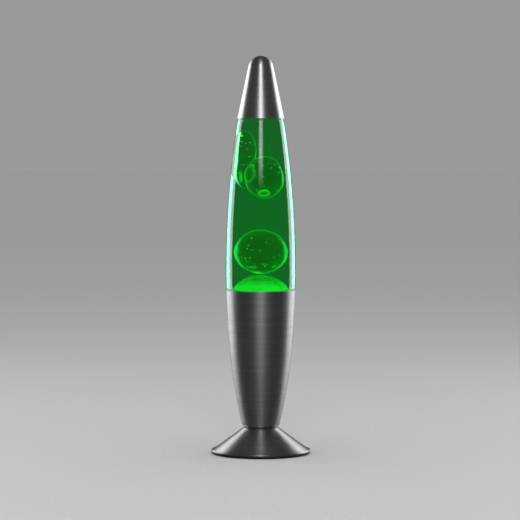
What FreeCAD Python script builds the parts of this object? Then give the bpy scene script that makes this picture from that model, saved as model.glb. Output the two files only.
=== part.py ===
import FreeCAD, Part
import math
import os

V = FreeCAD.Vector

# A small liquid-motion table lamp: a spun aluminium foot and tulip body, a sealed glass bottle of
# coloured liquid and wax that stands in the body, and a loose bullet-shaped cap over its neck.
# Millimetres. +Z is up, the origin is the centre of the underside, the cord hole faces +Y.

# ---- overall -------------------------------------------------------------------------------
FOOT_RADIUS = 50.0
WAIST_HEIGHT = 27.6           # underside of the tulip body
WAIST_RADIUS = 17.0           # edge of the foot's flat top
BODY_HEIGHT = 137.4           # from there to the top edge of the tulip body
RIM_RADIUS = 35.0             # outside of that edge
SHEET = 0.8                   # thickness of the spun aluminium shells

# ---- clearances ----------------------------------------------------------------------------
SEAT_GAP = 0.3                # between the bottle and the body it stands in
THREAD_GAP = 0.05             # radial gap of the drawn threads
HOLE_GAP = 0.15               # radial gap of a clearance hole
FILM_GAP = 0.05               # between the liquid or wax and what it wets
WAX_GAP = 0.35                # liquid around a wax blob that floats free
FIT_GAP = 0.1                 # between pieces that push together

# ---- foot ----------------------------------------------------------------------------------
RIM_BEAD_RADIUS = 1.1         # rolled edge of the foot
RIM_BEAD_DROP = 0.09          # how far its centre lies below the cone's outside face
PLATE_THICKNESS = 1.3         # bottom cover
PLATE_OVERHANG = 1.4          # how far the foot's rim stands out over the bottom cover
PLATE_RIB_WIDTH = 1.6         # ring on the cover that locates it inside the foot
PLATE_RIB_HEIGHT = 2.4
PAD_THICKNESS = 0.8
PAD_WIDTH = 8.0
PAD_OVERHANG = 2.6            # how far the bottom cover stands out over the pad

# ---- tulip body ----------------------------------------------------------------------------
WALL_LEAN = 2.4               # lean of the wall at the rim from the vertical, degrees
WALL_UPPER_RADIUS = 2037.0    # curve of the upper wall
WALL_JOIN_DROP = 40.6         # where the upper curve meets the lower one, below the rim
WALL_FOOT_RADIUS = 18.585     # where the lower curve would meet the body's underside
BODY_CORNER_RADIUS = 3.0
SPACER_THICKNESS = 1.0
SPACER_RADIUS = 15.8

# ---- threaded tube that clamps foot, body and lampholder ------------------------------------
TUBE_RADIUS = 5.0
TUBE_WALL = 1.4
TUBE_TAIL = 2.0               # length that shows below the lower nut
NUT_ACROSS_FLATS = 14.0
NUT_THICKNESS = 4.0
NUT_CHAMFER = 0.67
WASHER_RADIUS = 9.0
WASHER_THICKNESS = 1.0

# ---- lampholder, small screw size -----------------------------------------------------------
HOLDER_RADIUS = 13.5
HOLDER_WALL = 1.6
HOLDER_HEIGHT = 36.0
HOLDER_FLOOR = 3.4
HOLDER_LIFT = 0.4             # gap between the upper nut and the holder
WIRING_SPACE = 2.6
LEDGE_WIDTH = 1.0
CORE_THICKNESS = 4.4
CORE_TUBE_WALL = 1.2
SHELL_WALL = 0.4
SHELL_LENGTH = 14.5
CONTACT_THICKNESS = 0.4
CONTACT_WIDTH = 5.0
CONTACT_LIFT = 2.2
CONTACT_SIDE_GAP = 1.0        # between the leaf's ends and the screw shell
TERMINAL_OFFSET = 8.2
TERMINAL_THREAD_RADIUS = 1.45
TERMINAL_HEAD_RADIUS = 2.6
TERMINAL_HEAD_HEIGHT = 1.6
TERMINAL_HOLE_DEPTH = 3.4
TERMINAL_SHANK_LENGTH = 2.4

# ---- reflector bulb -------------------------------------------------------------------------
BULB_LENGTH = 65.0
BULB_RADIUS = 19.5
BULB_THREAD_RADIUS = 6.94     # the real cap's crest
BULB_WALL = 0.7
BULB_NECK_LENGTH = 19.5       # tip to the top of the metal cap
BULB_CAP_WALL = 0.3
BULB_TIP_RADIUS = 2.3
BULB_TIP_HEIGHT = 1.7
BULB_INSULATOR_HEIGHT = 3.3
BULB_SHOULDER_HEIGHT = 52.0   # tip to the widest place
BULB_EDGE_RADIUS = 5.0
SCREW_RUNNING_GAP = 0.08      # between the bulb's cap and the holder's shell
FILAMENT_HEIGHT = 40.0        # above the tip
FILAMENT_RADIUS = 7.0
FILAMENT_WIRE_RADIUS = 0.3
SUPPORT_WIRE_RADIUS = 0.35
STEM_RADIUS = 2.4
STEM_LENGTH = 18.0

# ---- glass bottle ---------------------------------------------------------------------------
GLASS_OVERHANG = 0.05         # how far the bottle's belly stands out over the body's rim
GLASS_BELLY_RISE = 22.0       # from the body's rim up to the widest place
GLASS_CURVE_RADIUS = 940.0
GLASS_WALL = 2.5
GLASS_FLOOR = 4.0
GLASS_SEAT_DEPTH = 40.0       # from the body's rim down to the bottle's underside
GLASS_CORNER_RADIUS = 7.0
GLASS_STEP_RADIUS = 1.0       # rounded shoulder that stands on the body's rim
GLASS_STEP_BLEND = 2.5
GLASS_BELLY_LENGTH = 145.0    # from the widest place up to where the bottle turns in
SHOULDER_RADIUS = 20.0
NECK_RADIUS = 12.5
NECK_FILLET_RADIUS = 5.0
NECK_LENGTH = 3.0
LIP_BULGE = 0.7               # how far the lip's bead stands out from the neck
LIP_HEIGHT = 5.5
LIP_EDGE_RADIUS = 1.0
FILL_RISE = 13.0              # from the turn of the shoulder up to the liquid's level

# ---- crown closure --------------------------------------------------------------------------
CROWN_OVERHANG = 2.8          # how far the crown stands out from the lip
CROWN_HEIGHT = 6.0
CROWN_TOP = 0.5
CROWN_SKIRT = 1.0
CROWN_FLARE = 1.6
CROWN_FLUTES = 21
CROWN_FLUTE_DEPTH = 0.45
LINER_THICKNESS = 0.7

# ---- loose cap ------------------------------------------------------------------------------
CAP_LENGTH = 63.0
CAP_RIM_RISE = 5.0            # from the turn of the bottle's shoulder up to the cap's edge
CAP_OVERHANG = 0.05           # how far the cap stands out from the bottle there
CAP_SLOPE_ANGLE = 12.0        # the cap's straight side from the vertical, degrees

# ---- wax ------------------------------------------------------------------------------------
COIL_WIRE_RADIUS = 0.8
COIL_INNER_RADIUS = 14.0
COIL_TURNS = 3
COIL_PITCH = 2.6
POOL_RISE = 16.0              # crown of the settled wax, above the body's rim
POOL_DOME_RADIUS = 22.0
POOL_DOME_END = 25.0          # where the dome turns out into its skirt, degrees above level
POOL_SKIRT_RADIUS = 14.0
# each free blob of wax: its centre, measured up from the body's rim, and half its width across,
# half its depth and half its height
BLOBS = {
    "wax_blob_lower": (V(0.3, 0.0, 38.6), V(20.4, 20.4, 22.0)),
    "wax_blob_right": (V(2.9, -8.0, 113.0), V(16.6, 11.0, 21.0)),
    "wax_blob_left": (V(-10.4, 11.0, 130.0), V(8.6, 8.0, 29.0)),
}

# ---- cord inlet -----------------------------------------------------------------------------
INLET_DISTANCE = 24.0         # from the waist down the back of the foot, along its slope
INLET_BORE_RADIUS = 3.1
INLET_NECK_RADIUS = 4.2
INLET_FLANGE_RADIUS = 5.6
INLET_FLANGE_THICKNESS = 1.2

# ---- places that follow from the sizes above -------------------------------------------------
CUT_MARGIN = 1.0              # how far a drill is drawn past the faces it cuts
LEAN = math.radians(WALL_LEAN)
CAP_SLOPE = math.radians(CAP_SLOPE_ANGLE)
SPACER_BASE = WAIST_HEIGHT - SPACER_THICKNESS
FOOT_TOP = SPACER_BASE
BEAD_CENTRE_RADIUS = FOOT_RADIUS - RIM_BEAD_RADIUS
PLATE_RADIUS = FOOT_RADIUS - PLATE_OVERHANG
PAD_OUTER_RADIUS = PLATE_RADIUS - PAD_OVERHANG
PLATE_BASE = PAD_THICKNESS
PLATE_TOP = PLATE_BASE + PLATE_THICKNESS
BEAD_CENTRE_HEIGHT = PLATE_TOP + FILM_GAP + RIM_BEAD_RADIUS
SLOPE = math.atan2(FOOT_TOP - RIM_BEAD_DROP - BEAD_CENTRE_HEIGHT, BEAD_CENTRE_RADIUS - WAIST_RADIUS)
UPPER_NUT_BASE = WAIST_HEIGHT + SHEET + WASHER_THICKNESS
HOLDER_BASE = UPPER_NUT_BASE + NUT_THICKNESS + HOLDER_LIFT
CORE_BASE = HOLDER_BASE + HOLDER_FLOOR + WIRING_SPACE
CORE_TOP = CORE_BASE + CORE_THICKNESS
BULB_TIP = CORE_TOP + CONTACT_LIFT
SHELL_INNER_RADIUS = BULB_THREAD_RADIUS + SCREW_RUNNING_GAP
SHELL_OUTER_RADIUS = SHELL_INNER_RADIUS + SHELL_WALL
LOWER_NUT_BASE = FOOT_TOP - SHEET - WASHER_THICKNESS - NUT_THICKNESS
RIM_HEIGHT = WAIST_HEIGHT + BODY_HEIGHT
STEP_HEIGHT = RIM_HEIGHT + SEAT_GAP
BOTTLE_INSET = SHEET + SEAT_GAP
GLASS_BASE_HEIGHT = RIM_HEIGHT - GLASS_SEAT_DEPTH
GLASS_MAX_RADIUS = RIM_RADIUS + GLASS_OVERHANG
GLASS_BELLY_HEIGHT = RIM_HEIGHT + GLASS_BELLY_RISE
SHOULDER_HEIGHT = GLASS_BELLY_HEIGHT + GLASS_BELLY_LENGTH
FILL_HEIGHT = SHOULDER_HEIGHT + FILL_RISE
LIP_RADIUS = NECK_RADIUS + LIP_BULGE
CROWN_RADIUS = LIP_RADIUS + CROWN_OVERHANG
CAP_RIM_HEIGHT = SHOULDER_HEIGHT + CAP_RIM_RISE
TOTAL_HEIGHT = CAP_RIM_HEIGHT + CAP_LENGTH


def line(a, b):
    return Part.LineSegment(a, b).toShape()


def arc(a, middle, b):
    return Part.Arc(a, middle, b).toShape()


def flat(r, z):
    """A point of a lathe outline: r from the axis, z up."""
    return V(r, 0, z)


def on_circle(centre, radius, angle):
    """The point of a circle at an angle up from the outward direction."""
    return centre + V(math.cos(angle), 0, math.sin(angle)) * radius


def turn_arc(centre, radius, start, end):
    """An arc of a lathe outline between two angles."""
    middle = on_circle(centre, radius, (start + end) / 2)
    return arc(on_circle(centre, radius, start), middle, on_circle(centre, radius, end))


def lathe(edges):
    """A solid turned about the lamp's axis from a closed outline."""
    face = Part.Face(Part.Wire(Part.__sortEdges__(edges)))
    solid = face.revolve(V(0, 0, 0), V(0, 0, 1), 360)
    return solid if solid.Volume > 0 else solid.reversed()


def lathe_polygon(points):
    corners = [flat(r, z) for r, z in points]
    return lathe([line(a, b) for a, b in zip(corners, corners[1:] + corners[:1])])


def tube(inner, outer, bottom, top):
    return lathe_polygon([(inner, bottom), (outer, bottom), (outer, top), (inner, top)])


def disc(radius, bottom, top):
    return Part.makeCylinder(radius, top - bottom, V(0, 0, bottom))


# ---- the two long curves, each drawn at any inset so that facing walls stay parallel ---------
def wall_circles():
    """The tulip wall's two curves, outside face: both centres, the lower radius, where they join.

    The lower curve carries on from the upper one without a kink and ends at the body's foot."""
    upper = V(RIM_RADIUS - WALL_UPPER_RADIUS * math.cos(LEAN), 0,
              RIM_HEIGHT + WALL_UPPER_RADIUS * math.sin(LEAN))
    join = math.asin((upper.z - RIM_HEIGHT + WALL_JOIN_DROP) / WALL_UPPER_RADIUS)
    joint = on_circle(upper, WALL_UPPER_RADIUS, -join)
    run = flat(WALL_FOOT_RADIUS, WAIST_HEIGHT) - joint
    radius = run.Length ** 2 / (2 * run.dot((upper - joint).normalize()))
    return upper, on_circle(joint, -radius, -join), radius, join


def wall_outline(inset, top, bottom, corner):
    """Edges of the body's wall at an inset, from a height down round a corner to a flat floor.

    Returns the edges, the first point and the last point, where the floor begins."""
    upper, lower, lower_radius, join = wall_circles()
    start = wall_angle(inset, top)
    reaches_lower = bottom + corner < RIM_HEIGHT - WALL_JOIN_DROP
    centre = lower if reaches_lower else upper
    radius = (lower_radius if reaches_lower else WALL_UPPER_RADIUS) - inset
    rise = centre.z - (bottom + corner)
    corner_centre = flat(centre.x + math.sqrt((radius - corner) ** 2 - rise ** 2), bottom + corner)
    end = math.asin(rise / (radius - corner))
    edges = [turn_arc(corner_centre, corner, -end, -math.pi / 2)]
    if reaches_lower:
        edges.append(turn_arc(upper, WALL_UPPER_RADIUS - inset, -start, -join))
        edges.append(turn_arc(lower, radius, -join, -end))
    else:
        edges.append(turn_arc(upper, radius, -start, -end))
    first = on_circle(upper, WALL_UPPER_RADIUS - inset, -start)
    return edges, first, flat(corner_centre.x, bottom)


def wall_angle(inset, height):
    """Angle of the upper wall curve, down from the outward direction, at a height."""
    upper = wall_circles()[0]
    return math.asin((upper.z - height) / (WALL_UPPER_RADIUS - inset))


def belly_centre():
    return V(GLASS_MAX_RADIUS - GLASS_CURVE_RADIUS, 0, GLASS_BELLY_HEIGHT)


def belly_point(inset, height):
    """A point of the bottle's long curve, at an inset from its outside."""
    radius = GLASS_CURVE_RADIUS - inset
    centre = belly_centre()
    return on_circle(centre, radius, math.asin((height - centre.z) / radius))


def bottle_upper_outline(inset, start_height):
    """The bottle's belly, shoulder and neck fillet at an inset, as edges, first and last points."""
    centre = belly_centre()
    turn = math.asin((SHOULDER_HEIGHT - centre.z) / GLASS_CURVE_RADIUS)
    shoulder = on_circle(centre, GLASS_CURVE_RADIUS - SHOULDER_RADIUS, turn)
    reach = SHOULDER_RADIUS + NECK_FILLET_RADIUS
    end = math.acos((NECK_RADIUS + NECK_FILLET_RADIUS - shoulder.x) / reach)
    fillet = on_circle(shoulder, reach, end)
    first = belly_point(inset, start_height)
    last = V(fillet.x - NECK_FILLET_RADIUS - inset, 0, fillet.z)
    start = math.asin((start_height - centre.z) / (GLASS_CURVE_RADIUS - inset))
    edges = [
        turn_arc(centre, GLASS_CURVE_RADIUS - inset, start, turn),
        turn_arc(shoulder, SHOULDER_RADIUS - inset, turn, end),
        turn_arc(fillet, NECK_FILLET_RADIUS + inset, end + math.pi, math.pi),
    ]
    return edges, first, last


def neck_start():
    return bottle_upper_outline(0, STEP_HEIGHT + GLASS_STEP_RADIUS)[2].z


def lip_top():
    return neck_start() + NECK_LENGTH + LIP_HEIGHT


def cavity_floor(inset):
    """Height of the bottle's inner floor, raised with the inset."""
    return GLASS_BASE_HEIGHT + GLASS_FLOOR + inset - GLASS_WALL


def seat_outline(inset, top):
    """Inside of the bottle's seat, from its floor up to a height below the body's rim."""
    return wall_outline(BOTTLE_INSET + inset, top, cavity_floor(inset), GLASS_CORNER_RADIUS - inset)


def belly_outline(inset, bottom):
    """Inside of the bottle above its seat, with the blend that joins them and both end points."""
    edges, start, neck = bottle_upper_outline(inset, RIM_HEIGHT + GLASS_STEP_BLEND)
    return edges + [line(bottom, start)], neck


# ---- foot -----------------------------------------------------------------------------------
def flank_point(distance, depth):
    """A point down the foot's slope from the waist, at a depth under its outside face."""
    along = V(math.cos(SLOPE), 0, -math.sin(SLOPE))
    inward = V(-math.sin(SLOPE), 0, -math.cos(SLOPE))
    return flat(WAIST_RADIUS, FOOT_TOP) + along * distance + inward * depth


def flank_length():
    """Slope length from the waist to where the cone runs into the middle of the rolled edge."""
    return (BEAD_CENTRE_RADIUS - WAIST_RADIUS + SHEET / 2 * math.sin(SLOPE)) / math.cos(SLOPE)


def inlet_place():
    """Centre of the cord hole on the foot's outside face at the back, and its outward direction."""
    point = flank_point(INLET_DISTANCE, 0)
    outward = V(0, math.sin(SLOPE), math.cos(SLOPE))
    return V(0, point.x, point.z), outward


def inlet_cylinder(radius, low, high):
    """A cylinder on the cord hole's axis between two distances from the foot's outside face."""
    centre, outward = inlet_place()
    return Part.makeCylinder(radius, high - low, centre + outward * low, outward)


def base_foot():
    """Flared foot: a flat top, a straight cone, and an edge rolled round at the rim."""
    hole = TUBE_RADIUS + HOLE_GAP
    length = flank_length()
    under = FOOT_TOP - SHEET
    turn_in = flank_point((SHEET - SHEET * math.cos(SLOPE)) / math.sin(SLOPE), SHEET)
    outline = [flat(hole, FOOT_TOP), flank_point(0, 0), flank_point(length, 0),
               flank_point(length, SHEET), turn_in, flat(hole, under)]
    edges = [line(a, b) for a, b in zip(outline, outline[1:] + outline[:1])]
    bead = Part.makeTorus(BEAD_CENTRE_RADIUS, RIM_BEAD_RADIUS, V(0, 0, BEAD_CENTRE_HEIGHT))
    shell = lathe(edges).fuse(bead)
    return shell.cut(inlet_cylinder(INLET_NECK_RADIUS + FIT_GAP, -2 * SHEET, SHEET)).removeSplitter()


def cord_grommet():
    """Soft bush in the cord hole: a neck in the sheet and a flange on each side of it."""
    cone_hollow = INLET_FLANGE_RADIUS ** 2 * math.sin(SLOPE) / (2 * flank_point(INLET_DISTANCE, SHEET).x)
    inner_face = -SHEET - cone_hollow - FIT_GAP
    neck = inlet_cylinder(INLET_NECK_RADIUS, inner_face, FIT_GAP)
    outer = inlet_cylinder(INLET_FLANGE_RADIUS, FIT_GAP, FIT_GAP + INLET_FLANGE_THICKNESS)
    inner = inlet_cylinder(INLET_FLANGE_RADIUS, inner_face - INLET_FLANGE_THICKNESS, inner_face)
    body = neck.fuse([outer, inner]).removeSplitter()
    body = body.makeFillet(INLET_FLANGE_THICKNESS / 3, [
        e for e in body.Edges
        if abs(e.Length - 2 * math.pi * INLET_FLANGE_RADIUS) < 0.1])
    bore = inlet_cylinder(INLET_BORE_RADIUS, inner_face - 2 * INLET_FLANGE_THICKNESS,
                          FIT_GAP + 2 * INLET_FLANGE_THICKNESS)
    return body.cut(bore)


def base_plate():
    """Bottom cover: a flat disc under the rolled edge with a rib that locates it in the cone."""
    top = PLATE_TOP + PLATE_RIB_HEIGHT
    lift = (top - FOOT_TOP) / -math.sin(SLOPE)
    rib_outer = flank_point(lift, 0).x - (SHEET + FIT_GAP) / math.sin(SLOPE)
    return lathe_polygon([
        (0, PLATE_BASE), (PLATE_RADIUS, PLATE_BASE), (PLATE_RADIUS, PLATE_TOP), (rib_outer, PLATE_TOP),
        (rib_outer, top), (rib_outer - PLATE_RIB_WIDTH, top),
        (rib_outer - PLATE_RIB_WIDTH, PLATE_TOP), (0, PLATE_TOP)])


def foot_pad():
    """Soft ring stuck under the cover, which the lamp stands on."""
    return tube(PAD_OUTER_RADIUS - PAD_WIDTH, PAD_OUTER_RADIUS, 0, PAD_THICKNESS)


# ---- tulip body and the clamp at the waist ----------------------------------------------------
def base_body():
    """Spun cup that carries the bottle, one even sheet all round, with a hole for the tube."""
    hole = TUBE_RADIUS + HOLE_GAP
    outside, rim_out, floor_out = wall_outline(0, RIM_HEIGHT, WAIST_HEIGHT, BODY_CORNER_RADIUS)
    inside, rim_in, floor_in = wall_outline(SHEET, RIM_HEIGHT, WAIST_HEIGHT + SHEET,
                                            BODY_CORNER_RADIUS - SHEET)
    low, high = flat(hole, floor_out.z), flat(hole, floor_in.z)
    return lathe(outside + inside + [line(rim_out, rim_in), line(floor_out, low),
                                     line(low, high), line(high, floor_in)])


def waist_spacer():
    """Ring clamped between foot and body, which leaves the shadow line at the waist."""
    return tube(TUBE_RADIUS + HOLE_GAP, SPACER_RADIUS, SPACER_BASE, WAIST_HEIGHT)


def threaded_tube():
    """Hollow tube through foot, body and lampholder; its thread is drawn plain."""
    bottom = LOWER_NUT_BASE - TUBE_TAIL
    return tube(TUBE_RADIUS - TUBE_WALL, TUBE_RADIUS, bottom, HOLDER_BASE + HOLDER_FLOOR)


def hex_nut(bottom):
    across_corners = NUT_ACROSS_FLATS / math.cos(math.pi / 6)
    corners = [V(across_corners / 2 * math.cos(k * math.pi / 3),
                 across_corners / 2 * math.sin(k * math.pi / 3), bottom) for k in range(7)]
    prism = Part.Face(Part.makePolygon(corners)).extrude(V(0, 0, NUT_THICKNESS))
    chamfer = lathe_polygon([
        (0, bottom), (NUT_ACROSS_FLATS / 2, bottom),
        (across_corners / 2, bottom + NUT_CHAMFER),
        (across_corners / 2, bottom + NUT_THICKNESS - NUT_CHAMFER),
        (NUT_ACROSS_FLATS / 2, bottom + NUT_THICKNESS), (0, bottom + NUT_THICKNESS)])
    hole = disc(TUBE_RADIUS + THREAD_GAP, bottom - CUT_MARGIN, bottom + NUT_THICKNESS + CUT_MARGIN)
    return prism.common(chamfer).cut(hole)


def washer(bottom):
    return tube(TUBE_RADIUS + HOLE_GAP, WASHER_RADIUS, bottom, bottom + WASHER_THICKNESS)


# ---- lampholder -------------------------------------------------------------------------------
def holder_cup():
    """Moulded outer cup, screwed on the tube's end, with a ledge that carries the core."""
    inner = HOLDER_RADIUS - HOLDER_WALL
    ledge = inner - LEDGE_WIDTH
    floor = HOLDER_BASE + HOLDER_FLOOR
    top = HOLDER_BASE + HOLDER_HEIGHT
    hole = TUBE_RADIUS + THREAD_GAP
    return lathe_polygon([
        (hole, HOLDER_BASE), (HOLDER_RADIUS, HOLDER_BASE), (HOLDER_RADIUS, top), (inner, top),
        (inner, CORE_BASE), (ledge, CORE_BASE), (ledge, floor), (hole, floor)])


def terminal_places():
    return [V(side * TERMINAL_OFFSET, 0, CORE_BASE) for side in (-1, 1)]


def holder_core():
    """Insulating core: a thick disc on the ledge and a tube that grips the screw shell."""
    outer = HOLDER_RADIUS - HOLDER_WALL - FIT_GAP
    tube_inner = SHELL_OUTER_RADIUS + FIT_GAP
    tube_outer = tube_inner + CORE_TUBE_WALL
    top = shell_base() + SHELL_LENGTH
    core = lathe_polygon([
        (0, CORE_BASE), (outer, CORE_BASE), (outer, CORE_TOP), (tube_outer, CORE_TOP),
        (tube_outer, top), (tube_inner, top), (tube_inner, CORE_TOP), (0, CORE_TOP)])
    for place in terminal_places():
        core = core.cut(Part.makeCylinder(TERMINAL_THREAD_RADIUS + THREAD_GAP,
                                          TERMINAL_HOLE_DEPTH, place))
    return core


def shell_base():
    return BULB_TIP + BULB_TIP_HEIGHT + BULB_INSULATOR_HEIGHT


def holder_screw_shell():
    """Thin screw shell that the bulb turns in; its rounded thread is drawn as a plain tube."""
    base = shell_base()
    return tube(SHELL_INNER_RADIUS, SHELL_OUTER_RADIUS, base, base + SHELL_LENGTH)


def holder_centre_contact():
    """Sprung leaf under the bulb's tip: a foot on the core, a short rise and a flat top."""
    top = BULB_TIP - FILM_GAP
    reach = SHELL_INNER_RADIUS - CONTACT_SIDE_GAP
    outline = [
        flat(-reach, CORE_TOP), flat(-reach / 2, CORE_TOP),
        flat(0, top - CONTACT_THICKNESS), flat(reach / 2, top - CONTACT_THICKNESS),
        flat(reach / 2, top), flat(-CONTACT_THICKNESS, top),
        flat(-reach / 2 - CONTACT_THICKNESS / 2, CORE_TOP + CONTACT_THICKNESS),
        flat(-reach, CORE_TOP + CONTACT_THICKNESS)]
    leaf = Part.Face(Part.makePolygon(outline + outline[:1])).extrude(V(0, CONTACT_WIDTH, 0))
    leaf.translate(V(0, -CONTACT_WIDTH / 2, 0))
    return leaf


def holder_terminal_screws():
    """Two cheese-head screws under the core, where the wires are held."""
    screws = []
    for place in terminal_places():
        head = Part.makeCylinder(TERMINAL_HEAD_RADIUS, TERMINAL_HEAD_HEIGHT,
                                 place - V(0, 0, TERMINAL_HEAD_HEIGHT))
        shank = Part.makeCylinder(TERMINAL_THREAD_RADIUS, TERMINAL_SHANK_LENGTH, place)
        slot = Part.makeBox(4 * TERMINAL_HEAD_RADIUS, TERMINAL_HEAD_HEIGHT / 3,
                            TERMINAL_HEAD_HEIGHT / 2)
        slot.translate(place - V(2 * TERMINAL_HEAD_RADIUS, TERMINAL_HEAD_HEIGHT / 6,
                                 TERMINAL_HEAD_HEIGHT))
        screws.append(head.fuse(shank).cut(slot))
    return Part.makeCompound(screws)


# ---- bulb -------------------------------------------------------------------------------------
def envelope_outline(inset):
    """Half outline of the bulb's glass from its neck end to the axis, at an inset."""
    neck = BULB_THREAD_RADIUS - BULB_CAP_WALL - FIT_GAP
    start = BULB_TIP + BULB_NECK_LENGTH - SHELL_LENGTH / 2
    cap_top = BULB_TIP + BULB_NECK_LENGTH
    widest = BULB_TIP + BULB_SHOULDER_HEIGHT
    bend = 2 * math.atan((BULB_RADIUS - neck) / (widest - cap_top))
    flare = (widest - cap_top) / 2 / math.sin(bend)
    edge_centre = flat(BULB_RADIUS - BULB_EDGE_RADIUS, widest)
    dome_rise = BULB_LENGTH - BULB_SHOULDER_HEIGHT - BULB_EDGE_RADIUS
    meet = math.pi / 2 - 2 * math.atan(dome_rise / edge_centre.x)
    face = edge_centre.x / math.cos(meet) + BULB_EDGE_RADIUS
    face_centre = flat(0, BULB_TIP + BULB_LENGTH - face)
    return [
        line(flat(neck - inset, start), flat(neck - inset, cap_top)),
        turn_arc(flat(neck + flare, cap_top), flare + inset, math.pi, math.pi - bend),
        turn_arc(flat(BULB_RADIUS - flare, widest), flare - inset, -bend, 0),
        turn_arc(edge_centre, BULB_EDGE_RADIUS - inset, 0, meet),
        turn_arc(face_centre, face - inset, meet, math.pi / 2),
    ], flat(neck - inset, start), flat(0, face_centre.z + face - inset)


def bulb_envelope():
    """Blown glass of the reflector bulb, open at the end that is cemented into the metal cap."""
    outside, outer_start, outer_top = envelope_outline(0)
    inside, inner_start, inner_top = envelope_outline(BULB_WALL)
    return lathe(outside + inside + [line(outer_start, inner_start), line(outer_top, inner_top)])


def bulb_cap():
    """Metal screw cap of the bulb, drawn without its thread."""
    base = shell_base()
    top = BULB_TIP + BULB_NECK_LENGTH
    inner = BULB_THREAD_RADIUS - BULB_CAP_WALL
    return lathe_polygon([
        (inner - 2 * BULB_CAP_WALL, base), (BULB_THREAD_RADIUS, base),
        (BULB_THREAD_RADIUS, top), (inner, top), (inner, base + BULB_CAP_WALL),
        (inner - 2 * BULB_CAP_WALL, base + BULB_CAP_WALL)])


def bulb_insulator():
    """Black glass cone between the cap and the tip."""
    base = BULB_TIP + BULB_TIP_HEIGHT
    return lathe_polygon([
        (0, base), (BULB_TIP_RADIUS + BULB_CAP_WALL, base),
        (BULB_THREAD_RADIUS - 4 * BULB_CAP_WALL, shell_base()),
        (BULB_THREAD_RADIUS - 4 * BULB_CAP_WALL, shell_base() + BULB_CAP_WALL), (0, shell_base()
                                                                                + BULB_CAP_WALL)])


def bulb_tip():
    """Solder button at the end of the bulb."""
    top = BULB_TIP + BULB_TIP_HEIGHT
    sphere_radius = (BULB_TIP_RADIUS ** 2 + BULB_TIP_HEIGHT ** 2) / (2 * BULB_TIP_HEIGHT)
    ball = Part.makeSphere(sphere_radius, V(0, 0, BULB_TIP + sphere_radius))
    return ball.common(disc(BULB_RADIUS, BULB_TIP, top))


def bulb_stem():
    """Glass stem that holds the two support wires."""
    base = shell_base() + 2 * BULB_CAP_WALL
    flare = (BULB_THREAD_RADIUS - 4 * BULB_CAP_WALL - BULB_WALL) / 2 + STEM_RADIUS / 2
    return lathe_polygon([
        (0, base), (flare, base), (STEM_RADIUS, base + STEM_RADIUS * 2),
        (STEM_RADIUS, base + STEM_LENGTH), (0, base + STEM_LENGTH)])


def stem_top():
    return shell_base() + 2 * BULB_CAP_WALL + STEM_LENGTH


def bulb_supports():
    """Two wires from the stem out to the ends of the filament."""
    wires = []
    for side in (-1, 1):
        foot = V(side * STEM_RADIUS / 2, 0, stem_top() + SUPPORT_WIRE_RADIUS / 2)
        tip = V(side * FILAMENT_RADIUS, 0, BULB_TIP + FILAMENT_HEIGHT)
        wires.append(Part.makeCylinder(SUPPORT_WIRE_RADIUS, (tip - foot).Length, foot, tip - foot))
    return Part.makeCompound(wires)


def bulb_filament():
    """Filament: an arch of fine coil between the support wires, drawn as a solid wire."""
    height = BULB_TIP + FILAMENT_HEIGHT + SUPPORT_WIRE_RADIUS + FILAMENT_WIRE_RADIUS + FILM_GAP
    section = Part.Face(Part.Wire(Part.makeCircle(
        FILAMENT_WIRE_RADIUS, V(FILAMENT_RADIUS, 0, height), V(0, 1, 0))))
    return section.revolve(V(0, 0, height), V(0, 0, 1), 180)


# ---- bottle -----------------------------------------------------------------------------------
def glass_bottle():
    """Blown bottle: a seat that nests in the body, a shoulder on its rim, a long belly, a neck."""
    low_out, low_top, floor_out = wall_outline(BOTTLE_INSET, STEP_HEIGHT, GLASS_BASE_HEIGHT,
                                               GLASS_CORNER_RADIUS)
    step_top = STEP_HEIGHT + GLASS_STEP_RADIUS
    high_out, high_start, neck_out = bottle_upper_outline(0, step_top)
    step_centre = flat(high_start.x - GLASS_STEP_RADIUS, step_top)
    step = turn_arc(step_centre, GLASS_STEP_RADIUS, -math.pi / 2, 0)
    seat, seat_top, floor_in = seat_outline(GLASS_WALL, RIM_HEIGHT - GLASS_STEP_BLEND)
    belly, neck_in = belly_outline(GLASS_WALL, seat_top)
    axis_low, axis_high = flat(0, GLASS_BASE_HEIGHT), flat(0, floor_in.z)
    lip_base = neck_out.z + NECK_LENGTH
    edges = low_out + high_out + seat + belly + [
        step, line(low_top, flat(step_centre.x, STEP_HEIGHT)),
        line(floor_out, axis_low), line(axis_low, axis_high), line(axis_high, floor_in)]
    lip = lip_outline(lip_base, neck_out, neck_in)
    return lathe(edges + lip)


def lip_outline(base, neck_out, neck_in):
    """Outside of the neck, the rounded bead at its top, and the bore back down."""
    top = base + LIP_HEIGHT
    low = flat(LIP_RADIUS - LIP_EDGE_RADIUS, base + LIP_EDGE_RADIUS)
    high = flat(LIP_RADIUS - LIP_EDGE_RADIUS, top - LIP_EDGE_RADIUS)
    start = flat(neck_out.x, base)
    return [
        line(neck_out, start), line(start, flat(low.x, base)),
        turn_arc(low, LIP_EDGE_RADIUS, -math.pi / 2, 0),
        line(flat(LIP_RADIUS, low.z), flat(LIP_RADIUS, high.z)),
        turn_arc(high, LIP_EDGE_RADIUS, 0, math.pi / 2),
        line(flat(high.x, top), flat(neck_in.x, top)), line(flat(neck_in.x, top), neck_in)]


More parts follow.
